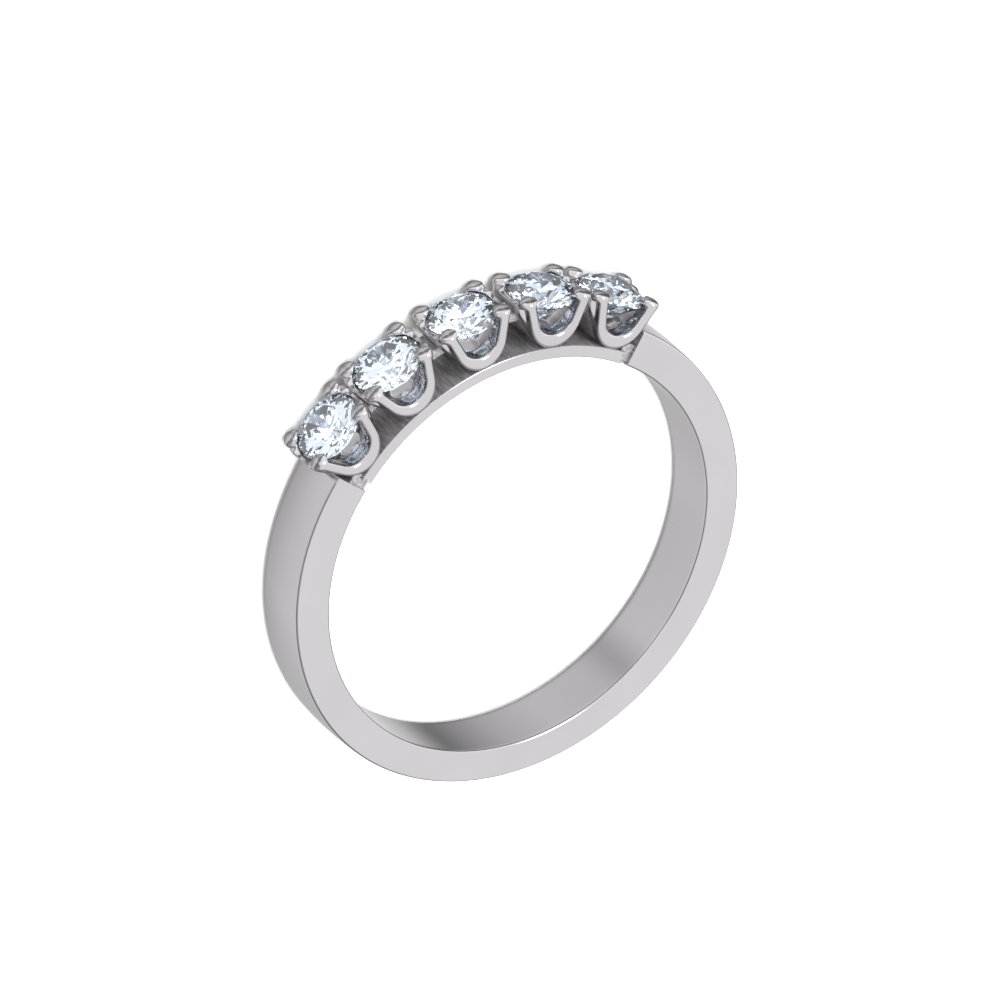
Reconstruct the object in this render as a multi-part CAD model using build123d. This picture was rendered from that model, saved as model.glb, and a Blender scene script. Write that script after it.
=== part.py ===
from build123d import *
from math import cos, pi, radians, sin, tan
import os

# Ring with five claw-set stones, lying on its side. Millimetres and degrees.
# The finger hole's axis is Z, its centre is the origin, and the stones point towards -Y.

# Finger hole and band
HOLE_RADIUS = 8.6
BAND_WIDTH = 2.63
BAND_OUTER_RADIUS = 10.12      # outer side of the band, a circle set a little towards the stones
BAND_OFFSET = 0.11             # how far that circle's centre lies towards the stones
BAND_DOME = 0.05               # rise of the outer side in the middle of its width
MOUTH_ROUNDING = 0.12          # rounding where the hole meets the flat sides
EDGE_ROUNDING = 0.10           # rounding where the outer side meets the flat sides
SHANK_END_ANGLE = 45.0         # from the middle of the stones to each end of the open band

# Gallery rail under the stones
RAIL_OUTER_RADIUS = 9.10
NOTCH_START_ANGLE = 41.2       # the rail's ends are cut back from here to the shank
NOTCH_DEPTH = 0.30
NOTCH_TOP_RADIUS = 9.45

# Places of the five crowns, from the middle of the row, and how far they fan out
CROWN_ANGLES = (-36.2, -18.75, 0.0, 18.75, 36.2)
CROWN_FAN = 0.92               # crown's lean as a share of its place's angle
CROWN_PIVOT_RADIUS = 11.20     # height at which a crown sits at exactly its angle

# Round brilliant-cut stone, heights from the centre of the hole along the crown's axis
FACETS = 8
STONE_RADIUS = 1.43
TABLE_RADIUS = 0.80
GIRDLE_LOW = 10.91
GIRDLE_HIGH = 10.97
TABLE_HEIGHT = 11.37
CULET_HEIGHT = 9.72
CULET_RADIUS = 0.03
STAR_REACH = 0.48              # star facets' tips, as a share of the way from table to girdle
LOWER_REACH = 0.76             # lower half facets' tips, as a share of the way from girdle to culet
STONE_GAP = 0.04               # clear space between stone and metal

# Outer form of a crown: height, half width along the row, half width across the band, corner rounding
CROWN_FORM = (
    (8.95, 0.50, 1.22, 0.25),
    (9.35, 0.66, 1.28, 0.30),
    (9.75, 1.02, 1.33, 0.40),
    (10.25, 1.46, 1.37, 0.50),
    (10.75, 1.56, 1.38, 0.55),
    (11.25, 1.55, 1.33, 0.55),
)
# Round bowl inside a crown: height, radius
CUP_FORM = (
    (9.50, 0.50),
    (9.75, 0.74),
    (10.25, 1.06),
    (10.75, 1.21),
    (11.25, 1.25),
)

# U cuts of a crown and the ridge along the rims of the front and back ones
U_BOTTOM = 9.62
U_RADIUS = 0.84
U_TAPER = 21.0
RIDGE_RADIUS = 0.15
RIDGE_PLANE = 1.29             # distance of the ridge's centre line from the middle of the band
RIDGE_TOP = 11.15
SIDE_CUT_BOTTOM = 10.62
SIDE_CUT_RADIUS = 0.52
SIDE_CUT_TAPER = 8.0

# Claws: the cap folded over the stone's edge and the flute down the claw's outer corner
CLAW_ALONG = 1.27
CLAW_ACROSS = 1.00
CAP_LENGTH = 0.74
CAP_WIDTH = 0.66
CAP_LOW = 11.00
CAP_HIGH = 11.37
CAP_CORNER = 0.30
CAP_ROUNDING = 0.17
FLUTE_RADIUS = 0.20
FLUTE_DISTANCE = 1.94          # of the flute's axis from the crown's axis
FLUTE_LOW = 10.15
FLUTE_HIGH = 11.06

# Webs between neighbouring crowns and at the ends of the shank
WEB_LOW = 10.18
WEB_HIGH = 10.58
WEB_HALF_WIDTH = 1.12
END_WEB_LOW = 9.80
END_WEB_HIGH = 10.12
END_WEB_START = 39.0
END_WEB_OVERLAP = 1.0          # degrees the end webs run into the shank

HALF_WIDTH = BAND_WIDTH / 2
TOP_OF_WORK = 13.0             # height past everything, for cuts that leave through the top
CROWN_REACH = 3.0              # distance past everything from a crown's axis


def revolved(points):
    """Solid of revolution about Z, from points (radius, height)."""
    outline = Polyline(*[(radius, 0, height) for radius, height in points], close=True)
    return revolve(make_face(outline), Axis.Z, 360)


def sector(inner, outer, half_angle, low, high):
    """Part of a flat ring about Z, centred on -Y, between two heights."""
    reach = 2 * outer
    ring = Cylinder(outer, high - low) - Cylinder(inner, high - low)
    corner = reach * tan(radians(half_angle))
    wedge = Polygon((0, 0), (-corner, -reach), (corner, -reach), align=None)
    solid = ring & extrude(wedge, (high - low) / 2, both=True)
    return Pos(0, 0, (low + high) / 2) * solid


def quarter_arc(start, end, corner):
    """Quarter circle between two points, bulging towards the corner given."""
    bulge = 1 - cos(pi / 4)
    middle = tuple(c + ((s - c) + (e - c)) * bulge for s, e, c in zip(start, end, corner))
    return ThreePointArc(start, middle, end)


def finger_hole():
    """The space of the hole, with its mouths opened out by a quarter round."""
    wall_end = HALF_WIDTH - MOUTH_ROUNDING
    mouth = HOLE_RADIUS + MOUTH_ROUNDING
    low_mouth = (mouth, 0, -HALF_WIDTH)
    low_wall = (HOLE_RADIUS, 0, -wall_end)
    high_wall = (HOLE_RADIUS, 0, wall_end)
    high_mouth = (mouth, 0, HALF_WIDTH)
    profile = make_face(
        Line((0, 0, -HALF_WIDTH), low_mouth)
        + quarter_arc(low_mouth, low_wall, (HOLE_RADIUS, 0, -HALF_WIDTH))
        + Line(low_wall, high_wall)
        + quarter_arc(high_wall, high_mouth, (HOLE_RADIUS, 0, HALF_WIDTH))
        + Line(high_mouth, (0, 0, HALF_WIDTH))
        + Line((0, 0, HALF_WIDTH), (0, 0, -HALF_WIDTH))
    )
    return revolve(profile, Axis.Z, 360)


def band():
    """Closed band: domed outer side, flat sides, round hole with softened mouths."""
    side = BAND_OUTER_RADIUS - BAND_DOME
    flat_end = side - EDGE_ROUNDING
    low_flat = (flat_end, 0, -HALF_WIDTH)
    low_side = (side, 0, -HALF_WIDTH + EDGE_ROUNDING)
    high_side = (side, 0, HALF_WIDTH - EDGE_ROUNDING)
    high_flat = (flat_end, 0, HALF_WIDTH)
    profile = make_face(
        Line((0, 0, -HALF_WIDTH), low_flat)
        + quarter_arc(low_flat, low_side, (side, 0, -HALF_WIDTH))
        + ThreePointArc(low_side, (BAND_OUTER_RADIUS, 0, 0), high_side)
        + quarter_arc(high_side, high_flat, (side, 0, HALF_WIDTH))
        + Line(high_flat, (0, 0, HALF_WIDTH))
        + Line((0, 0, HALF_WIDTH), (0, 0, -HALF_WIDTH))
    )
    outer = Pos(0, -BAND_OFFSET, 0) * revolve(profile, Axis.Z, 360)
    return outer - finger_hole()


def end_notches():
    """Both end notches on one side of the rail, their floor at height zero."""
    sides = sector(HOLE_RADIUS / 2, NOTCH_TOP_RADIUS, SHANK_END_ANGLE, 0, BAND_WIDTH)
    middle = sector(HOLE_RADIUS / 3, TOP_OF_WORK, NOTCH_START_ANGLE, -BAND_WIDTH, 2 * BAND_WIDTH)
    return sides - middle


def shank_and_rail():
    """Band opened at the top, with the thin rail and its end notches closing the hole."""
    opening = sector(RAIL_OUTER_RADIUS, TOP_OF_WORK, SHANK_END_ANGLE, -BAND_WIDTH, BAND_WIDTH)
    notches = Pos(0, 0, HALF_WIDTH - NOTCH_DEPTH) * end_notches()
    return band() - opening - notches - mirror(notches, Plane.XY)


def crown_place(angle):
    """Placement of a crown: its own Z points out of the ring, its X along the row, its Y across the band."""
    pivot = Pos(0, 0, CROWN_PIVOT_RADIUS) * Rot(0, -angle * (1 - CROWN_FAN), 0) * Pos(0, 0, -CROWN_PIVOT_RADIUS)
    return Rot(90, 0, 0) * Rot(0, angle, 0) * pivot


def crown_body():
    """Flared outer form of a crown, up to the height where its claws' caps begin."""
    sections = []
    for height, along, across, rounding in CROWN_FORM:
        sections.append(Pos(0, 0, height) * RectangleRounded(2 * along, 2 * across, rounding))
    above = Pos(0, 0, (RIDGE_TOP + TOP_OF_WORK) / 2) * Box(2 * CROWN_REACH, 2 * CROWN_REACH, TOP_OF_WORK - RIDGE_TOP)
    return loft(sections) - above


def cup():
    """Round bowl inside a crown, with a flat floor and open to the top."""
    wall = Spline(*[(radius, 0, height) for height, radius in CUP_FORM])
    floor = CUP_FORM[0]
    mouth = CUP_FORM[-1]
    profile = make_face(
        wall
        + Line((mouth[1], 0, mouth[0]), (0, 0, mouth[0]))
        + Line((0, 0, mouth[0]), (0, 0, floor[0]))
        + Line((0, 0, floor[0]), (floor[1], 0, floor[0]))
    )
    return revolve(profile, Axis.Z, 360)


def u_half(bottom, radius, taper, top):
    """Where the round bottom of a U ends and where its straight side reaches the top height."""
    join = (radius * cos(radians(taper)), bottom + radius - radius * sin(radians(taper)))
    end = (join[0] + (top - join[1]) * tan(radians(taper)), top)
    return join, end


def u_prism(bottom, radius, taper):
    """Prism along Y with a U outline, open to the top."""
    join, end = u_half(bottom, radius, taper, TOP_OF_WORK)
    outline = make_face(
        ThreePointArc((-join[0], 0, join[1]), (0, 0, bottom), (join[0], 0, join[1]))
        + Line((join[0], 0, join[1]), (end[0], 0, end[1]))
        + Line((end[0], 0, end[1]), (-end[0], 0, end[1]))
        + Line((-end[0], 0, end[1]), (-join[0], 0, join[1]))
    )
    return extrude(outline, CROWN_REACH, both=True)


def ridge(side):
    """Round ridge along the rim of the front or back U, from claw to claw."""
    bottom = U_BOTTOM - RIDGE_RADIUS
    join, end = u_half(bottom, U_RADIUS + RIDGE_RADIUS, U_TAPER, RIDGE_TOP)
    y = side * RIDGE_PLANE
    path = (
        Line((-end[0], y, end[1]), (-join[0], y, join[1]))
        + ThreePointArc((-join[0], y, join[1]), (0, y, bottom), (join[0], y, join[1]))
        + Line((join[0], y, join[1]), (end[0], y, end[1]))
    )
    start = Plane(origin=(-end[0], y, end[1]), z_dir=(end[0] - join[0], 0, join[1] - end[1]))
    return sweep(start * Circle(RIDGE_RADIUS), path=path)


def claw_turn(side_x, side_y):
    """Direction from the crown's axis to a claw, in degrees."""
    return Vector(1, 0, 0).get_signed_angle(Vector(side_x * CLAW_ALONG, side_y * CLAW_ACROSS, 0))


def claw_cap(side_x, side_y):
    """Rounded cap of one claw, pointing at the stone's centre."""
    block = extrude(RectangleRounded(CAP_LENGTH, CAP_WIDTH, CAP_CORNER), CAP_HIGH - CAP_LOW)
    faces = block.faces().sort_by(Axis.Z)
    cap = fillet(faces[0].edges() + faces[-1].edges(), CAP_ROUNDING)
    place = Pos(side_x * CLAW_ALONG, side_y * CLAW_ACROSS, CAP_LOW)
    return place * Rot(0, 0, claw_turn(side_x, side_y)) * cap


def claw_flute(side_x, side_y):
    """Hollow down the outer corner of one claw, round at its lower end."""
    length = FLUTE_HIGH - FLUTE_LOW
    flute = Cylinder(FLUTE_RADIUS, length) + Pos(0, 0, -length / 2) * Sphere(FLUTE_RADIUS)
    outwards = Rot(0, 0, claw_turn(side_x, side_y)) * Pos(FLUTE_DISTANCE, 0, 0)
    return Pos(0, 0, (FLUTE_LOW + FLUTE_HIGH) / 2) * outwards * flute


def between(first, second, share):
    """Value that lies a share of the way from the first to the second."""
    return first + (second - first) * share


def star_point():
    """Radius and height of the corners between the star facets and the halves."""
    radius = between(TABLE_RADIUS, STONE_RADIUS, STAR_REACH) / cos(pi / FACETS)
    return radius, between(TABLE_HEIGHT, GIRDLE_HIGH, STAR_REACH)


def lower_point():
    """Radius and height of the corners between the lower halves and the pavilion facets."""
    radius = between(STONE_RADIUS, CULET_RADIUS, LOWER_REACH) / cos(pi / FACETS)
    return radius, between(GIRDLE_LOW, CULET_HEIGHT, LOWER_REACH)


def clear_space(below):
    """Space around a stone's upper side, closed below by the points (radius, height) given."""
    gap = STONE_GAP
    radius, height = star_point()
    above = (
        (STONE_RADIUS + gap, GIRDLE_HIGH + gap / 2),
        (radius + gap, height + gap),
        (TABLE_RADIUS + gap, TABLE_HEIGHT + gap),
        (0, TABLE_HEIGHT + gap),
    )
    return revolved(below + above)


def stone_room():
    """Space kept clear of metal around a stone."""
    gap = STONE_GAP
    radius, height = lower_point()
    return clear_space((
        (0, CULET_HEIGHT - gap),
        (CULET_RADIUS + gap, CULET_HEIGHT - gap),
        (radius + gap, height - gap),
        (STONE_RADIUS + gap, GIRDLE_LOW - gap / 2),
    ))


def setting_room():
    """Space that the caps leave free: that of the stone and all of the cup under it."""
    floor = CUP_FORM[0][0]
    return clear_space(((0, floor), (STONE_RADIUS + STONE_GAP, floor)))


def crown_space():
    """What is cut out of a crown once the webs are in place: the cup and the U cuts."""
    side_cut = Rot(0, 0, 90) * u_prism(SIDE_CUT_BOTTOM, SIDE_CUT_RADIUS, SIDE_CUT_TAPER)
    return cup() + u_prism(U_BOTTOM, U_RADIUS, U_TAPER) + side_cut


def crown_outside():
    """Outer form of a crown with the flutes of its claws."""
    form = crown_body()
    for side_x in (-1, 1):
        for side_y in (-1, 1):
            form -= claw_flute(side_x, side_y)
    return form


def crown_caps():
    """The four caps of a crown, cut to sit on the stone's edge."""
    caps = None
    for side_x in (-1, 1):
        for side_y in (-1, 1):
            cap = claw_cap(side_x, side_y) - setting_room()
            caps = cap if caps is None else caps + cap
    return caps


def webs():
    """Strips that join the crowns to each other and to the ends of the shank."""
    strip = sector(WEB_LOW, WEB_HIGH, CROWN_ANGLES[-1], -WEB_HALF_WIDTH, WEB_HALF_WIDTH)
    end_angle = SHANK_END_ANGLE + END_WEB_OVERLAP
    ends = sector(END_WEB_LOW, END_WEB_HIGH, end_angle, -WEB_HALF_WIDTH, WEB_HALF_WIDTH)
    ends -= sector(HOLE_RADIUS, TOP_OF_WORK, END_WEB_START, -BAND_WIDTH, BAND_WIDTH)
    return strip + ends


def ring_mount():
    """All the metal as one solid."""
    outside = crown_outside()
    space = crown_space()
    ridges = ridge(1) + ridge(-1)
    caps = crown_caps()
    room = stone_room()
    metal = shank_and_rail() + webs()
    for angle in CROWN_ANGLES:
        metal += crown_place(angle) * outside
    for angle in CROWN_ANGLES:
        metal -= crown_place(angle) * space
    for angle in CROWN_ANGLES:
        metal += crown_place(angle) * ridges
        metal += crown_place(angle) * caps
        metal -= crown_place(angle) * room
    return metal


def polar(radius, step, height):
    """Point at a number of sixteenths of a turn."""
    angle = pi * step / FACETS
    return (radius * cos(angle), radius * sin(angle), height)


def brilliant():
    """Round brilliant cut: table, stars, kites, halves, girdle and pavilion."""
    star_radius, star_height = star_point()
    lower_radius, lower_height = lower_point()
    table = [polar(TABLE_RADIUS, 2 * k, TABLE_HEIGHT) for k in range(FACETS)]
    culet = [polar(CULET_RADIUS, 2 * k, CULET_HEIGHT) for k in range(FACETS)]
    star = [polar(star_radius, 2 * k + 1, star_height) for k in range(FACETS)]
    lower = [polar(lower_radius, 2 * k + 1, lower_height) for k in range(FACETS)]
    high = [polar(STONE_RADIUS, k, GIRDLE_HIGH) for k in range(2 * FACETS)]
    low = [polar(STONE_RADIUS, k, GIRDLE_LOW) for k in range(2 * FACETS)]
    facets = [table, culet[::-1]]
    for k in range(FACETS):
        after = (k + 1) % FACETS
        left = 2 * k
        middle = 2 * k + 1
        right = (2 * k + 2) % (2 * FACETS)
        facets.append([table[k], star[k], table[after]])
        facets.append([table[k], star[k - 1], high[left], star[k]])
        facets.append([star[k], high[left], high[middle]])
        facets.append([star[k], high[middle], high[right]])
        facets.append([high[left], low[left], low[middle], high[middle]])
        facets.append([high[middle], low[middle], low[right], high[right]])
        facets.append([lower[k], low[middle], low[left]])
        facets.append([lower[k], low[right], low[middle]])
        facets.append([culet[k], lower[k], low[left], lower[k - 1]])
        facets.append([culet[k], culet[after], lower[k]])
    faces = [Face(Wire.make_polygon([Vector(*point) for point in facet])) for facet in facets]
    return Solid(Shell(faces))


def main():
    os.makedirs("parts", exist_ok=True)
    export_step(ring_mount(), "parts/ring_mount.step")
    stone = brilliant()
    for number, angle in enumerate(CROWN_ANGLES, start=1):
        export_step(crown_place(angle) * stone, f"parts/stone_{number}.step")


main()
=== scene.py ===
from math import atan2, cos, pi, radians, sin, tan

import bmesh
import bpy
from mathutils import Matrix, Vector


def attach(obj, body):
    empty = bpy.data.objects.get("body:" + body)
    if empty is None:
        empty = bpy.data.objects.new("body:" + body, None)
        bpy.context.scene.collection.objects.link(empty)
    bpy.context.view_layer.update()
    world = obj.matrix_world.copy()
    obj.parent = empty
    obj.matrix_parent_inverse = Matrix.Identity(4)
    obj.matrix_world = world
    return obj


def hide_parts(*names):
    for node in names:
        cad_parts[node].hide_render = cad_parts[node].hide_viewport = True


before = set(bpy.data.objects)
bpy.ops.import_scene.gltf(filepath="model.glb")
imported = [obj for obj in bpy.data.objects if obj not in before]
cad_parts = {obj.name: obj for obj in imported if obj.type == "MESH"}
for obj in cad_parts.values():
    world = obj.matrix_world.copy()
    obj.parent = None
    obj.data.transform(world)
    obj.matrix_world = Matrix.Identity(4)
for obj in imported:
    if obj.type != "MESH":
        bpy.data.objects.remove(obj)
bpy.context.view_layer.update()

MM = 0.001

# Shank: the open band of white gold, cast, filed flat on both sides and polished.
# It is thicker towards its two ends, where the outer crowns and the rail are soldered on.
HOLE = 8.6
BAND_SIDE = 10.06
HALF_WIDTH = 1.315
DOME = 0.05
THICKENING = 0.11
SHANK_END = 44.0
EDGE = 0.13


def bar_section(inner, outer, half_width, rounding, angle):
    """Rounded section of a band, standing on the radius at an angle from the middle of the stones."""
    bm = bmesh.new()
    bmesh.ops.create_grid(bm, x_segments=1, y_segments=1, size=0.5)
    bmesh.ops.scale(bm, vec=(outer - inner, 2 * half_width, 1), verts=bm.verts)
    bmesh.ops.bevel(bm, geom=bm.verts[:], offset=rounding, segments=6, affect='VERTICES', profile=0.5, material=-1)
    bmesh.ops.delete(bm, geom=bm.faces[:], context='FACES_ONLY')
    long_edges = [edge for edge in bm.edges if edge.calc_length() > 2 * rounding]
    bmesh.ops.subdivide_edges(bm, edges=long_edges, cuts=15)
    stand = Matrix.Rotation(radians(angle - 90), 4, 'Z') @ Matrix.Translation(((inner + outer) / 2, 0, 0))
    bmesh.ops.transform(bm, matrix=stand @ Matrix.Rotation(pi / 2, 4, 'X'), verts=bm.verts)
    return bm


def swept_round(bm, angle, steps):
    """Turn a section into a bar about the finger hole, closed at both ends."""
    bmesh.ops.spin(bm, geom=bm.edges[:], cent=(0, 0, 0), axis=(0, 0, 1), dvec=(0, 0, 0), angle=radians(angle),
                   steps=steps, use_merge=False, use_duplicate=False)
    bmesh.ops.holes_fill(bm, edges=[edge for edge in bm.edges if edge.is_boundary], sides=0)
    bmesh.ops.recalc_face_normals(bm, faces=bm.faces)


def piece_from(name, bm, sharp_angle):
    """Finished object from a mesh in millimetres, smooth except where it turns sharply."""
    bmesh.ops.scale(bm, vec=(MM, MM, MM), verts=bm.verts)
    mesh = bpy.data.meshes.new(name)
    bm.to_mesh(mesh)
    bm.free()
    for face in mesh.polygons:
        face.use_smooth = True
    mesh.set_sharp_from_angle(angle=radians(sharp_angle))
    piece = bpy.data.objects.new(name, mesh)
    bpy.context.scene.collection.objects.link(piece)
    return piece


shank_mesh = bar_section(HOLE, BAND_SIDE, HALF_WIDTH, EDGE, SHANK_END)
for vert in shank_mesh.verts:
    share = (vert.co.xy.length - HOLE) / (BAND_SIDE - HOLE)
    if share > 0.97:
        rise = DOME * (1 - (vert.co.z / (HALF_WIDTH - EDGE)) ** 2)
        vert.co.xy *= 1 + rise / BAND_SIDE
swept_round(shank_mesh, 360 - 2 * SHANK_END, 216)
for vert in shank_mesh.verts:
    share = (vert.co.xy.length - HOLE - EDGE) / (BAND_SIDE - HOLE - EDGE)
    vert.co.y -= THICKENING * min(max(share, 0), 1)
shank = piece_from("shank", shank_mesh, 50)

polished_gold = bpy.data.materials.new("polished_white_gold")
polished_gold.use_nodes = True
gold_nodes = polished_gold.node_tree.nodes
gold_links = polished_gold.node_tree.links
gold_shader = gold_nodes["Principled BSDF"]
gold_shader.inputs["Metallic"].default_value = 1.0
gold_place = gold_nodes.new("ShaderNodeTexCoord")
gold_cloud = gold_nodes.new("ShaderNodeTexNoise")
gold_cloud.inputs["Scale"].default_value = 260.0
gold_cloud.inputs["Detail"].default_value = 3.0
gold_tint = gold_nodes.new("ShaderNodeValToRGB")
gold_tint.color_ramp.elements[0].position = 0.30
gold_tint.color_ramp.elements[0].color = (0.500, 0.486, 0.500, 1)
gold_tint.color_ramp.elements[1].position = 0.70
gold_tint.color_ramp.elements[1].color = (0.530, 0.515, 0.530, 1)
gold_sheen = gold_nodes.new("ShaderNodeMapRange")
gold_sheen.inputs["To Min"].default_value = 0.13
gold_sheen.inputs["To Max"].default_value = 0.19
gold_hairs = gold_nodes.new("ShaderNodeTexNoise")
gold_hairs.inputs["Scale"].default_value = 2600.0
gold_hairs.inputs["Detail"].default_value = 4.0
gold_bump = gold_nodes.new("ShaderNodeBump")
gold_bump.inputs["Strength"].default_value = 0.05
gold_bump.inputs["Distance"].default_value = 0.00002
gold_links.new(gold_place.outputs["Object"], gold_cloud.inputs["Vector"])
gold_links.new(gold_place.outputs["Object"], gold_hairs.inputs["Vector"])
gold_links.new(gold_cloud.outputs["Fac"], gold_tint.inputs["Fac"])
gold_links.new(gold_tint.outputs["Color"], gold_shader.inputs["Base Color"])
gold_links.new(gold_cloud.outputs["Fac"], gold_sheen.inputs["Value"])
gold_links.new(gold_sheen.outputs["Result"], gold_shader.inputs["Roughness"])
gold_links.new(gold_hairs.outputs["Fac"], gold_bump.inputs["Height"])
gold_links.new(gold_bump.outputs["Normal"], gold_shader.inputs["Normal"])
shank.data.materials.append(polished_gold)
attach(shank, "root")
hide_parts("ring_mount")

# Gallery rail: a thin strip of the same gold that closes the finger hole under the stones.
# Its ends are cut back on both sides, so a small notch shows beside each end of the shank.
RAIL_TOP = 9.10
RAIL_TOP_ROUNDING = 0.06
NOTCH_START = 41.7
NOTCH_DEPTH = 0.18
NOTCH_TOP = 9.44
rail_mesh = bar_section(HOLE, RAIL_TOP, HALF_WIDTH, RAIL_TOP_ROUNDING, -NOTCH_START)
swept_round(rail_mesh, 2 * NOTCH_START, 96)
for side in (-1, 1):
    end_mesh = bar_section(HOLE + 0.01, NOTCH_TOP, HALF_WIDTH - NOTCH_DEPTH, RAIL_TOP_ROUNDING,
                           min(side * (NOTCH_START - 1), side * (SHANK_END + 1)))
    swept_round(end_mesh, SHANK_END + 2 - NOTCH_START, 6)
    joined = bpy.data.meshes.new("rail_end")
    end_mesh.to_mesh(joined)
    end_mesh.free()
    rail_mesh.from_mesh(joined)
    bpy.data.meshes.remove(joined)
gallery_rail = piece_from("gallery_rail", rail_mesh, 50)
gallery_rail.data.materials.append(polished_gold)
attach(gallery_rail, "root")
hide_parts("ring_mount")

# Unpolished metal: where no polishing brush reaches, between the crowns and at the ends of the
# shank, the casting keeps its dull grey surface, with file marks that run across the band. Its colour
# is also darkened there as painted shade, since these places lie between parts where shade falls.
shaded_cast_gold = bpy.data.materials.new("shaded_cast_white_gold")
shaded_cast_gold.use_nodes = True
cast_nodes = shaded_cast_gold.node_tree.nodes
cast_links = shaded_cast_gold.node_tree.links
cast_shader = cast_nodes["Principled BSDF"]
cast_shader.inputs["Metallic"].default_value = 0.40
cast_place = cast_nodes.new("ShaderNodeTexCoord")
cast_stretch = cast_nodes.new("ShaderNodeMapping")
cast_stretch.inputs["Rotation"].default_value = (0.25, 0.15, 0)
cast_stretch.inputs["Scale"].default_value = (9000, 9000, 1100)
cast_marks = cast_nodes.new("ShaderNodeTexNoise")
cast_marks.inputs["Scale"].default_value = 1.0
cast_marks.inputs["Detail"].default_value = 5.0
cast_marks.inputs["Roughness"].default_value = 0.65
cast_grain = cast_nodes.new("ShaderNodeTexNoise")
cast_grain.inputs["Scale"].default_value = 5200.0
cast_grain.inputs["Detail"].default_value = 3.0
# Painted shade: the ramp's dark greys are partly the cast metal's own dull tone with its file marks, partly shade
# painted into the colour.
cast_and_shade_tint = cast_nodes.new("ShaderNodeValToRGB")
cast_and_shade_tint.color_ramp.elements[0].position = 0.35
cast_and_shade_tint.color_ramp.elements[0].color = (0.17, 0.166, 0.170, 1)
cast_and_shade_tint.color_ramp.elements[1].position = 0.68
cast_and_shade_tint.color_ramp.elements[1].color = (0.44, 0.43, 0.44, 1)
cast_sheen = cast_nodes.new("ShaderNodeMapRange")
cast_sheen.inputs["To Min"].default_value = 0.52
cast_sheen.inputs["To Max"].default_value = 0.28
cast_relief = cast_nodes.new("ShaderNodeMath")
cast_relief.operation = 'MULTIPLY_ADD'
cast_relief.inputs[1].default_value = 0.35
cast_bump = cast_nodes.new("ShaderNodeBump")
cast_bump.inputs["Strength"].default_value = 0.6
cast_bump.inputs["Distance"].default_value = 0.00006
cast_links.new(cast_place.outputs["Object"], cast_stretch.inputs["Vector"])
cast_links.new(cast_stretch.outputs["Vector"], cast_marks.inputs["Vector"])
cast_links.new(cast_place.outputs["Object"], cast_grain.inputs["Vector"])
cast_links.new(cast_marks.outputs["Fac"], cast_and_shade_tint.inputs["Fac"])
cast_links.new(cast_and_shade_tint.outputs["Color"], cast_shader.inputs["Base Color"])
cast_links.new(cast_marks.outputs["Fac"], cast_sheen.inputs["Value"])
cast_links.new(cast_sheen.outputs["Result"], cast_shader.inputs["Roughness"])
cast_links.new(cast_grain.outputs["Fac"], cast_relief.inputs[0])
cast_links.new(cast_marks.outputs["Fac"], cast_relief.inputs[2])
cast_links.new(cast_relief.outputs["Value"], cast_bump.inputs["Height"])
cast_links.new(cast_bump.outputs["Normal"], cast_shader.inputs["Normal"])


def leave_cast_and_shade(piece, picks_cast_and_shade):
    """Give the dull cast metal, with its painted shade, to the faces that the test picks, by their centre and normal.
    """
    piece.data.materials.append(shaded_cast_gold)
    cast_and_shade_slot = len(piece.data.materials) - 1
    for face in piece.data.polygons:
        if picks_cast_and_shade(face.center / MM, face.normal):
            face.material_index = cast_and_shade_slot


def out_of_middle(place):
    """Angle of a place from the middle of the stones."""
    return abs(atan2(place.x, -place.y))


# The shank's end faces take the cast metal; their darker colour is partly painted shade where they meet the rail and
# crowns.
leave_cast_and_shade(shank, lambda place, normal: out_of_middle(place) < radians(SHANK_END + 0.2))
# The rail's top between the crowns and its cut-back ends take the cast metal; their darker colour is partly painted
# shade between the parts.
leave_cast_and_shade(gallery_rail, lambda place, normal: place.xy.length > RAIL_TOP - 0.008
           or out_of_middle(place) > radians(NOTCH_START - 0.5) and place.xy.length > HOLE + 0.1)

# Webs: short strips of cast metal between neighbouring crowns, and between the outer crowns
# and the shank. They are soldered in behind the crowns' walls and are not polished; their dark colour is partly
# painted shade between the parts.
WEB_SPANS = (                  # lowest and highest radius, first and last angle from the middle
    (10.18, 10.58, -29.3, -25.6),
    (10.18, 10.58, -11.7, -7.1),
    (10.18, 10.58, 7.1, 11.7),
    (10.18, 10.58, 25.6, 29.3),
    (9.80, 10.00, -44.6, -41.0),
    (9.80, 10.00, 41.0, 44.6),
)
WEB_HALF_WIDTH = 0.60
web_mesh = bmesh.new()
for low, high, first, last in WEB_SPANS:
    span_mesh = bar_section(low, high, WEB_HALF_WIDTH, 0.08, first)
    swept_round(span_mesh, last - first, 8)
    joined = bpy.data.meshes.new("web")
    span_mesh.to_mesh(joined)
    span_mesh.free()
    web_mesh.from_mesh(joined)
    bpy.data.meshes.remove(joined)
crown_webs = piece_from("crown_webs", web_mesh, 50)
crown_webs.data.materials.append(shaded_cast_gold)
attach(crown_webs, "root")
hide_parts("ring_mount")

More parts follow.
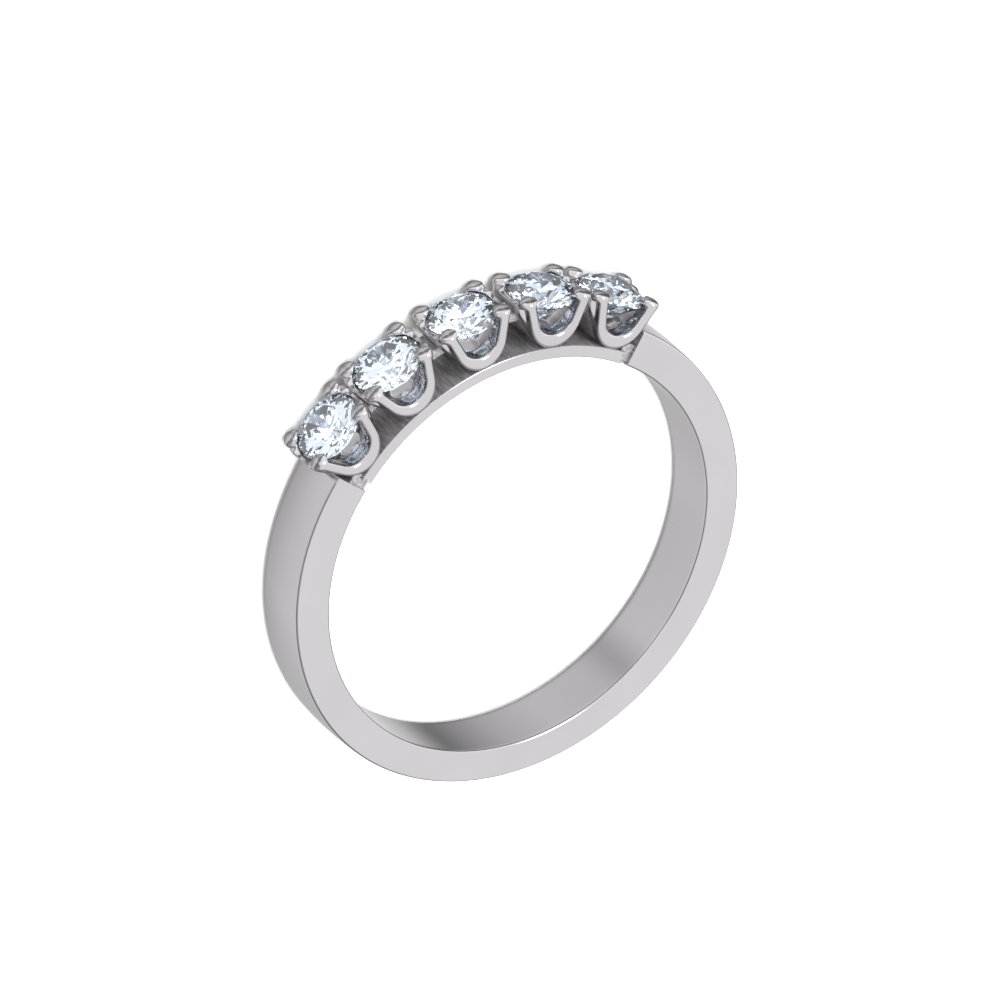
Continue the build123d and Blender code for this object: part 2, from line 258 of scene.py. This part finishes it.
# Crowns: five cast cups that hold the stones, each with a deep U in its front and back wall,
# a shallower one towards its neighbours, and four hollow claws folded over the stone's edge.
# The parts of a crown are modelled upright, with the finger hole's axis at height zero.
CROWN_ANGLES = (-36.2, -18.75, 0.0, 18.75, 36.2)
CROWN_FAN = 0.92
CROWN_PIVOT = 11.20
FORM_LEVELS = (                # height, half width along the row, half width across the band
    (8.95, 0.52, 1.39),
    (9.12, 0.60, 1.42),
    (9.30, 0.78, 1.43),
    (9.50, 0.97, 1.43),
    (9.75, 1.14, 1.43),
    (10.05, 1.33, 1.41),
    (10.42, 1.47, 1.40),
    (10.85, 1.545, 1.39),
    (11.07, 1.54, 1.375),
    (11.14, 1.52, 1.36),
)
WALL_LEVELS = (                # the same for the cup between the front and back collars
    (8.95, 0.44, 1.20),
    (9.30, 0.64, 1.20),
    (9.75, 1.00, 1.20),
    (10.05, 1.22, 1.16),
    (10.42, 1.50, 1.10),
    (10.75, 1.66, 1.04),
    (11.05, 1.69, 1.00),
    (11.11, 1.68, 1.00),
)
FORM_CORNER = 0.36
COLLAR_BACK = 0.84
BOWL = ((0, 9.50), (0.50, 9.50), (0.74, 9.75), (0.93, 10.0), (1.06, 10.25), (1.15, 10.5), (1.21, 10.75),
        (1.25, 11.25), (1.25, 12.0), (0, 12.0))
U_BOTTOM = 9.66
U_RADIUS = 0.78
U_TAPER = 18.0
RIM = 0.225
RIM_PLANE = 1.205
RIM_TOP = 11.10
RIM_FOOT = 0.45
SIDE_BOTTOM = 10.93
SIDE_RADIUS = 1.05
SIDE_TAPER = 45.0
CLAW_ALONG = 1.22
CLAW_ACROSS = 1.02
CAP_SIZE = (0.74, 0.70, 0.36)
CAP_CORNER = 0.27
CAP_ROUNDING = 0.16
CAP_HEIGHTS = {1: 11.09, -1: 11.14}
CAP_TILT = 7.0
FLUTE_RADIUS = 0.34
FLUTE_ALONG = 1.77
FLUTE_ACROSS = 1.13
FLUTE_LOW = 10.64
FLUTE_HIGH = 11.09
SOFTENING = 30


def part_from(name, bm):
    """Working object of a crown, in millimetres."""
    mesh = bpy.data.meshes.new(name)
    bm.to_mesh(mesh)
    bm.free()
    part = bpy.data.objects.new(name, mesh)
    bpy.context.scene.collection.objects.link(part)
    return part


def with_modifiers(part, name):
    """Mesh of a working object as its modifiers leave it."""
    view = bpy.context.evaluated_depsgraph_get()
    mesh = bpy.data.meshes.new_from_object(part.evaluated_get(view))
    mesh.name = name
    return mesh


def cut_out(part, tool):
    cut = part.modifiers.new("cut", 'BOOLEAN')
    cut.operation = 'DIFFERENCE'
    cut.solver = 'EXACT'
    cut.object = tool


def crown_form(levels):
    """Flared outer form of a crown, from its foot on the rail to the claws."""
    bm = bmesh.new()
    bmesh.ops.create_grid(bm, x_segments=1, y_segments=1, size=1.0)
    widest = levels[-1]
    bmesh.ops.scale(bm, vec=(widest[1], widest[2], 1), verts=bm.verts)
    bmesh.ops.bevel(bm, geom=bm.verts[:], offset=FORM_CORNER, segments=6, affect='VERTICES', profile=0.5, material=-1)
    height, along, across = levels[0]
    bmesh.ops.scale(bm, vec=(along / widest[1], across / widest[2], 1), verts=bm.verts)
    bmesh.ops.translate(bm, vec=(0, 0, height), verts=bm.verts)
    rim = bm.edges[:]
    for next_height, next_along, next_across in levels[1:]:
        grown = bmesh.ops.extrude_edge_only(bm, edges=rim)["geom"]
        verts = [item for item in grown if isinstance(item, bmesh.types.BMVert)]
        rim = [item for item in grown if isinstance(item, bmesh.types.BMEdge)]
        bmesh.ops.scale(bm, vec=(next_along / along, next_across / across, 1), verts=verts)
        bmesh.ops.translate(bm, vec=(0, 0, next_height - height), verts=verts)
        height, along, across = next_height, next_along, next_across
    bmesh.ops.contextual_create(bm, geom=[edge for edge in bm.edges if edge.is_boundary])
    bmesh.ops.recalc_face_normals(bm, faces=bm.faces)
    return bm


def between_collars():
    """Block that parts the front collar of a crown from the back one."""
    bm = bmesh.new()
    bmesh.ops.create_cube(bm, size=1.0)
    bmesh.ops.scale(bm, vec=(4, 2 * COLLAR_BACK, 4), verts=bm.verts)
    bmesh.ops.translate(bm, vec=(0, 0, FORM_LEVELS[0][0] + 1), verts=bm.verts)
    return bm


def u_cutter(bottom, radius, taper, turn):
    """Prism with a U outline, open to the top, that runs right through a crown."""
    reach = 3.0
    bm = bmesh.new()
    lie = Matrix.Translation((0, -reach, bottom + radius)) @ Matrix.Rotation(pi / 2, 4, 'X')
    bmesh.ops.create_circle(bm, cap_ends=True, segments=80, radius=radius, matrix=lie)
    join = bottom + radius * (1 - sin(radians(taper)))
    upper = [vert for vert in bm.verts if vert.co.z > join]
    mouth = radius * cos(radians(taper)) + reach * tan(radians(taper))
    bmesh.ops.scale(bm, vec=(mouth / radius, 1, 1), verts=upper)
    bmesh.ops.translate(bm, vec=(0, 0, reach), verts=upper)
    grown = bmesh.ops.extrude_face_region(bm, geom=bm.faces[:])["geom"]
    bmesh.ops.translate(bm, vec=(0, 2 * reach, 0), verts=[g for g in grown if isinstance(g, bmesh.types.BMVert)])
    bmesh.ops.rotate(bm, cent=(0, 0, 0), matrix=Matrix.Rotation(turn, 3, 'Z'), verts=bm.verts)
    bmesh.ops.recalc_face_normals(bm, faces=bm.faces)
    return bm


def rim_rod(plane):
    """Round rod along the rim of the front or back U, from claw to claw, broader at its foot."""
    bm = bmesh.new()
    centre = Vector((0, plane, U_BOTTOM + U_RADIUS))
    run = U_RADIUS + RIM * 0.85
    half = radians(90 - U_TAPER)
    start = centre + Vector((-run * sin(half), 0, -run * cos(half)))
    leg = Vector((-sin(radians(U_TAPER)), 0, cos(radians(U_TAPER))))
    stand = Matrix.Translation(start) @ leg.to_track_quat('Z', 'Y').to_matrix().to_4x4()
    bmesh.ops.create_circle(bm, cap_ends=False, segments=20, radius=RIM, matrix=stand)
    first = bm.edges[:]
    spun = bmesh.ops.spin(bm, geom=first, cent=centre, axis=(0, -1, 0), dvec=(0, 0, 0), angle=2 * half, steps=40,
                          use_merge=False, use_duplicate=False)
    last = [item for item in spun["geom_last"] if isinstance(item, bmesh.types.BMEdge)]
    length = (RIM_TOP - start.z) / cos(radians(U_TAPER))
    for edges, way in ((first, leg), (last, Vector((-leg.x, 0, leg.z)))):
        grown = bmesh.ops.extrude_edge_only(bm, edges=edges)["geom"]
        bmesh.ops.translate(bm, vec=way * length, verts=[g for g in grown if isinstance(g, bmesh.types.BMVert)])
    bmesh.ops.holes_fill(bm, edges=[edge for edge in bm.edges if edge.is_boundary], sides=0)
    bmesh.ops.recalc_face_normals(bm, faces=bm.faces)
    for vert in bm.verts:
        out = Vector((vert.co.x, 0, vert.co.z - centre.z))
        down = max(-out.z / out.length, 0)
        spread = max(out.length - U_RADIUS, 0) * RIM_FOOT * down ** 3
        vert.co += out.normalized() * spread
    return bm


def turned(points):
    """Closed shape turned about the crown's axis from points (radius, height)."""
    bm = bmesh.new()
    verts = [bm.verts.new((radius, 0, height)) for radius, height in points]
    edges = [bm.edges.new(pair) for pair in zip(verts, verts[1:])]
    bmesh.ops.spin(bm, geom=verts + edges, cent=(0, 0, 0), axis=(0, 0, 1), dvec=(0, 0, 0), angle=2 * pi,
                   steps=64, use_merge=True, use_duplicate=False)
    bmesh.ops.remove_doubles(bm, verts=bm.verts, dist=1e-4)
    bmesh.ops.recalc_face_normals(bm, faces=bm.faces)
    return bm


def flute(side_x, side_y):
    """Hollow down the outer corner of one claw."""
    bm = bmesh.new()
    bmesh.ops.create_uvsphere(bm, u_segments=32, v_segments=16, radius=FLUTE_RADIUS)
    upper = [vert for vert in bm.verts if vert.co.z > 1e-4]
    lower = [vert for vert in bm.verts if vert.co.z < -1e-4]
    bmesh.ops.scale(bm, vec=(1, 1, 1.2), verts=lower)
    bmesh.ops.scale(bm, vec=(1, 1, 0.3), verts=upper)
    bmesh.ops.translate(bm, vec=(0, 0, FLUTE_HIGH - FLUTE_LOW - 0.3 * FLUTE_RADIUS), verts=upper)
    bmesh.ops.translate(bm, vec=(side_x * FLUTE_ALONG, side_y * FLUTE_ACROSS, FLUTE_LOW), verts=bm.verts)
    return bm


def claw_cap(side_x, side_y):
    """Rounded end of one claw, folded down over the stone's edge."""
    bm = bmesh.new()
    bmesh.ops.create_cube(bm, size=1.0)
    bmesh.ops.scale(bm, vec=CAP_SIZE, verts=bm.verts)
    upright = [edge for edge in bm.edges if abs(edge.verts[0].co.z - edge.verts[1].co.z) > 0.1]
    bmesh.ops.bevel(bm, geom=upright, offset=CAP_CORNER, segments=5, affect='EDGES', profile=0.5, material=-1)
    flat = [edge for edge in bm.edges if abs(edge.verts[0].co.z - edge.verts[1].co.z) < 0.1]
    bmesh.ops.bevel(bm, geom=flat, offset=CAP_ROUNDING, segments=4, affect='EDGES', profile=0.5, material=-1)
    top = max(bm.faces, key=lambda face: face.calc_center_median().z)
    bmesh.ops.inset_region(bm, faces=[top], thickness=0.10, depth=0.035)
    bmesh.ops.rotate(bm, cent=(0, 0, 0), matrix=Matrix.Rotation(radians(CAP_TILT), 3, 'Y'), verts=bm.verts)
    turn = atan2(side_y * CLAW_ACROSS, side_x * CLAW_ALONG)
    bmesh.ops.rotate(bm, cent=(0, 0, 0), matrix=Matrix.Rotation(turn, 3, 'Z'), verts=bm.verts)
    bmesh.ops.translate(bm, vec=(side_x * CLAW_ALONG, side_y * CLAW_ACROSS, CAP_HEIGHTS[side_y]), verts=bm.verts)
    return bm


STONE_GAP = 0.06
STONE_SIDE = ((0.40 + STONE_GAP, 10.01 - STONE_GAP), (1.43 + STONE_GAP, 10.89), (1.43 + STONE_GAP, 10.99),
              (1.19 + STONE_GAP, 11.18 + STONE_GAP), (0.80 + STONE_GAP, 11.37 + STONE_GAP), (0, 11.37 + STONE_GAP))
seat = part_from("seat", turned(((0, 9.68),) + STONE_SIDE))
cutters = [
    part_from("front_and_back", u_cutter(U_BOTTOM, U_RADIUS, U_TAPER, 0)),
    part_from("both_sides", u_cutter(SIDE_BOTTOM, SIDE_RADIUS, SIDE_TAPER, pi / 2)),
    part_from("bowl", turned(BOWL)),
    seat,
]
collar_cutters = [part_from("between_collars", between_collars())]
for side_x in (-1, 1):
    for side_y in (-1, 1):
        collar_cutters.append(part_from("flute", flute(side_x, side_y)))
scrap = cutters + collar_cutters
metal = bmesh.new()
for levels, more_cutters in ((FORM_LEVELS, collar_cutters), (WALL_LEVELS, [])):
    body = part_from("crown_body", crown_form(levels))
    rounding = body.modifiers.new("rounding", 'SUBSURF')
    rounding.levels = 2
    rounding.render_levels = 2
    for cutter in cutters + more_cutters:
        cut_out(body, cutter)
    metal.from_mesh(with_modifiers(body, "crown_body"))
    scrap.append(body)
over_stone = part_from("over_stone", turned(((0, 9.5), (1.43 + STONE_GAP, 9.5)) + STONE_SIDE[2:]))
scrap.append(over_stone)
for side_x in (-1, 1):
    for side_y in (-1, 1):
        cap = part_from("cap", claw_cap(side_x, side_y))
        cut_out(cap, over_stone)
        metal.from_mesh(with_modifiers(cap, "cap"))
        scrap.append(cap)
for side in (-1, 1):
    rim = part_from("rim", rim_rod(side * RIM_PLANE))
    metal.from_mesh(rim.data)
    scrap.append(rim)
crown_work = part_from("crown_work", metal)
scrap.append(crown_work)
fuse = crown_work.modifiers.new("fuse", 'REMESH')
fuse.mode = 'VOXEL'
fuse.voxel_size = 0.03
fuse.use_smooth_shade = True
soften = crown_work.modifiers.new("soften", 'SMOOTH')
soften.factor = 0.5
soften.iterations = SOFTENING
crown_mesh = with_modifiers(crown_work, "crown")
for part in scrap:
    bpy.data.objects.remove(part)


def crown_place(angle):
    """Place of a crown in the ring: leaned out a little less than its angle, and in metres."""
    lean = Matrix.Rotation(radians(angle * (CROWN_FAN - 1)), 4, 'Y')
    pivot = Matrix.Translation((0, 0, CROWN_PIVOT)) @ lean @ Matrix.Translation((0, 0, -CROWN_PIVOT))
    return Matrix.Scale(MM, 4) @ Matrix.Rotation(pi / 2, 4, 'X') @ Matrix.Rotation(radians(angle), 4, 'Y') @ pivot


def side_wall(place, normal):
    """Whether a face of the upright crown lies on a side wall, where no brush reaches and where painted shade goes,
    between neighbouring crowns.
    """
    return abs(place.y) < COLLAR_BACK + 0.02 and place.z < 11.0 and place.x * normal.x > 0.3 * abs(place.x)


crown_mesh.materials.clear()
crown_mesh.materials.append(polished_gold)
crown_mesh.materials.append(shaded_cast_gold)
# Side walls between the crowns take the cast metal, whose darker colour is partly painted shade.
for face in crown_mesh.polygons:
    if side_wall(face.center, face.normal):
        face.material_index = 1
for number, angle in enumerate(CROWN_ANGLES, start=1):
    own_mesh = crown_mesh.copy()
    own_mesh.name = f"crown_{number}"
    own_mesh.transform(crown_place(angle))
    crown = bpy.data.objects.new(f"crown_{number}", own_mesh)
    bpy.context.scene.collection.objects.link(crown)
    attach(crown, "root")
    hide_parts("ring_mount")

# Stones: five round brilliants of a clear white stone, cut and polished, each held by its
# crown's four claws. Their shape is that of the CAD nodes.
clear_stone = bpy.data.materials.new("clear_white_stone")
clear_stone.use_nodes = True
stone_nodes = clear_stone.node_tree.nodes
stone_links = clear_stone.node_tree.links
stone_shader = stone_nodes["Principled BSDF"]
stone_shader.inputs["Transmission Weight"].default_value = 1.0
stone_shader.inputs["IOR"].default_value = 2.42
stone_shader.inputs["Roughness"].default_value = 0.0
# Painted glow: the stone gives off a faint blue light of its own, though it is no lamp.
stone_shader.inputs["Emission Color"].default_value = (0.72, 0.86, 1.0, 1)
stone_shader.inputs["Emission Strength"].default_value = 0.010
stone_place = stone_nodes.new("ShaderNodeTexCoord")
stone_cloud = stone_nodes.new("ShaderNodeTexNoise")
stone_cloud.inputs["Scale"].default_value = 900.0
stone_tint = stone_nodes.new("ShaderNodeValToRGB")
stone_tint.color_ramp.elements[0].color = (0.72, 0.83, 0.97, 1)
stone_tint.color_ramp.elements[1].color = (0.87, 0.93, 1.0, 1)
stone_links.new(stone_place.outputs["Object"], stone_cloud.inputs["Vector"])
stone_links.new(stone_cloud.outputs["Fac"], stone_tint.inputs["Fac"])
stone_links.new(stone_tint.outputs["Color"], stone_shader.inputs["Base Color"])
for number in range(1, 6):
    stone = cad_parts[f"stone_{number}"]
    for slot in stone.material_slots:
        slot.material = clear_stone

# Photographer's table: a large white sheet under the ring, soft light from all round above,
# and a camera that looks down on the ring as the photograph does.
FLOOR_HEIGHT = -1.44
sheet_mesh = bmesh.new()
bmesh.ops.create_grid(sheet_mesh, x_segments=8, y_segments=8, size=1500)
bmesh.ops.translate(sheet_mesh, vec=(0, 0, FLOOR_HEIGHT), verts=sheet_mesh.verts)
white_sheet = piece_from("white_sheet", sheet_mesh, 50)
white_sheet.visible_glossy = False
sheet_white = bpy.data.materials.new("sheet_white")
sheet_white.use_nodes = True
sheet_white.node_tree.nodes["Principled BSDF"].inputs["Base Color"].default_value = (0.86, 0.86, 0.86, 1)
sheet_white.node_tree.nodes["Principled BSDF"].inputs["Roughness"].default_value = 0.9
sheet_white.node_tree.nodes["Principled BSDF"].inputs["Specular IOR Level"].default_value = 0.0
white_sheet.data.materials.append(sheet_white)

STUDIO_HEIGHTS = (             # from straight down to straight up: place in the ramp, brightness
    (0.00, 0.36), (0.085, 0.57), (0.135, 0.80), (0.20, 0.93), (0.25, 0.76), (0.29, 0.24),
    (0.43, 0.26), (0.50, 0.40), (0.62, 0.42), (0.71, 1.00),
)
STUDIO_CARDS = (               # all round below the horizon: white cards, with dark gaps between them
    (0.00, 0.24), (0.10, 0.72), (0.18, 0.95), (0.27, 0.90), (0.31, 0.63), (0.36, 1.00),
    (0.50, 0.92), (0.60, 0.92), (0.78, 0.60), (0.86, 0.90), (0.94, 0.75), (1.00, 0.24),
)
FRONT_CARD_SIDES = ((0.38, 1.0), (0.42, 0.0), (0.88, 0.0), (0.94, 1.0))
FRONT_CARD_HEIGHTS = ((0.38, 0.0), (0.43, 1.2), (0.68, 1.2), (0.74, 0.0))
studio = bpy.data.worlds.new("studio")
studio.use_nodes = True
studio_nodes = studio.node_tree.nodes
studio_links = studio.node_tree.links


def brightness(stops, source):
    """Brightness ramp over a socket that runs from 0 to 1."""
    ramp = studio_nodes.new("ShaderNodeValToRGB")
    while len(ramp.color_ramp.elements) < len(stops):
        ramp.color_ramp.elements.new(0.5)
    for element, (place, level) in zip(ramp.color_ramp.elements, stops):
        element.position = place
        element.color = (level, level, level, 1)
    studio_links.new(source, ramp.inputs["Fac"])
    return ramp.outputs["Color"]


def worked_out(operation, *sources):
    """Result of one sum on sockets or plain numbers."""
    node = studio_nodes.new("ShaderNodeMath")
    node.operation = operation
    for socket, source in zip(node.inputs, sources):
        if isinstance(source, float):
            socket.default_value = source
        else:
            studio_links.new(source, socket)
    return node.outputs["Value"]


studio_way = studio_nodes.new("ShaderNodeTexCoord")
studio_parts = studio_nodes.new("ShaderNodeSeparateXYZ")
studio_links.new(studio_way.outputs["Generated"], studio_parts.inputs["Vector"])
studio_rise = worked_out('MULTIPLY_ADD', studio_parts.outputs["Z"], 0.5, 0.5)
studio_turn = worked_out('ARCTAN2', studio_parts.outputs["Y"], studio_parts.outputs["X"])
studio_round = worked_out('MULTIPLY_ADD', studio_turn, 0.5 / pi, 0.5)
above_horizon = worked_out('GREATER_THAN', studio_parts.outputs["Z"], 0.0)
cards = worked_out('MAXIMUM', brightness(STUDIO_CARDS, studio_round), above_horizon)
tent = worked_out('MULTIPLY', brightness(STUDIO_HEIGHTS, studio_rise), cards)
front_card = worked_out('MULTIPLY', brightness(FRONT_CARD_SIDES, studio_round),
                        brightness(FRONT_CARD_HEIGHTS, studio_rise))
studio_links.new(worked_out('MAXIMUM', tent, front_card), studio_nodes["Background"].inputs["Color"])
studio_nodes["Background"].inputs["Strength"].default_value = 1.25
bpy.context.scene.world = studio


def soft_light(name, place, size, power):
    """Square soft box that faces the ring."""
    lamp = bpy.data.lights.new(name, 'AREA')
    lamp.shape = 'SQUARE'
    lamp.size = size
    lamp.energy = power
    light = bpy.data.objects.new(name, lamp)
    bpy.context.scene.collection.objects.link(light)
    light.location = place
    light.rotation_euler = Vector(place).to_track_quat('Z', 'Y').to_euler()
    return light


soft_light("key_light", (-0.40, -0.78, 0.80), 0.45, 5.5)
sheet_light = soft_light("sheet_light", (0.0, 0.0, 1.20), 0.80, 18.0)
sheet_light.visible_glossy = False

camera_data = bpy.data.cameras.new("camera")
camera_data.lens = 607.29
camera_data.sensor_width = 36.0
camera_data.clip_start = 0.01
camera_data.clip_end = 20.0
camera = bpy.data.objects.new("camera", camera_data)
camera.location = (0.228659, -0.388399, 0.479848)
camera.rotation_euler = (radians(-31.4258), radians(-31.1805), radians(170.3547))
bpy.context.scene.collection.objects.link(camera)
bpy.context.scene.camera = camera
bpy.context.scene.view_settings.view_transform = 'Standard'
